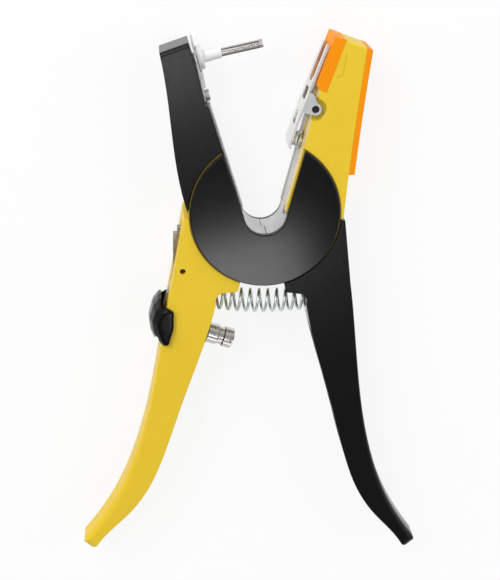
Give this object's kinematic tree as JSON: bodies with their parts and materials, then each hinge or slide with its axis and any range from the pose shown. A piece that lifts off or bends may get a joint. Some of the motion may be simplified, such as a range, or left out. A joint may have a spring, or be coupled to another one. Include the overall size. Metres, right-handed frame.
{
  "type": "tissue sampling applicator",
  "caption": "Plier-type hand tool that turns two crossed arms about an open-throated hub to push a sampling pin through an ear into a tag seat.",
  "frame": {"origin": "on the axis both arms turn about, level with the rear cover that the tool lies on", "axes": "+Y towards the jaws, +Z out of the front cover, +X towards the yellow jaw that carries the tag seat"},
  "size_m": [0.1806, 0.2819, 0.032],
  "materials": {
    "yellow_paint": "smooth powder coat, semi-gloss",
    "black_paint": "smooth powder coat, satin",
    "cover_black": "gloss",
    "screw_steel": "plated",
    "liner_metal": "bare, satin",
    "white_nylon": "satin",
    "pin_steel": "ground",
    "orange_pad": "satin",
    "clip_steel": "bright, stamped",
    "pin_black": "black oxide",
    "spring_steel": "zinc plated",
    "lever_steel": "as stamped",
    "thumb_black": "gloss",
    "washer_rubber": "matt",
    "barrel_nickel": "nickel plated"
  },
  "bodies": {
    "yellow_side": {"yellow_arm": "yellow_paint", "front_hub_cover": "cover_black", "rear_hub_cover": "cover_black", "cover_screws": "screw_steel", "yellow_throat_liner": "liner_metal", "tag_pad": "orange_pad", "jaw_back_strip": "orange_pad", "clip_pin": "pin_black", "clip_spring": "spring_steel", "lever_pin": "pin_black", "stop_washer": "washer_rubber", "stop_barrel": "barrel_nickel", "stop_nut": "barrel_nickel", "return_spring": "spring_steel"},
    "black_side": {"black_arm": "black_paint", "black_throat_liner": "liner_metal", "pin_base": "white_nylon", "sampling_pin": "pin_steel", "pin_core": "pin_steel", "jaw_face_plate": "liner_metal", "pin_lock_plate": "liner_metal", "liner_screw": "screw_steel"},
    "clip": {"tag_clip": "clip_steel"},
    "thumb_lever": {"thumb_rocker": "lever_steel", "thumb_pad": "thumb_black"}
  },
  "joints": [
    {"name": "arm_hinge", "type": "hinge", "parent": "yellow_side", "child": "black_side", "pos_m": [0, 0, 0.016], "axis": [0, 0, 1], "range_deg": [-32, 0], "stiffness_Nm_per_rad": 2, "springref_deg": 8.59, "deforming": ["return_spring"]},
    {"name": "clip_hinge", "type": "hinge", "parent": "yellow_side", "child": "clip", "pos_m": [0.0246, 0.0519, 0.016], "axis": [0, 0, 1], "range_deg": [0, 9], "stiffness_Nm_per_rad": 0.3, "springref_deg": -8.59, "deforming": ["clip_spring"]},
    {"name": "lever_hinge", "type": "hinge", "parent": "yellow_side", "child": "thumb_lever", "pos_m": [-0.0414, -0.0295, 0.016], "axis": [0, 0, 1], "range_deg": [0, 4], "stiffness_Nm_per_rad": 0.3, "springref_deg": -5.73}
  ]
}
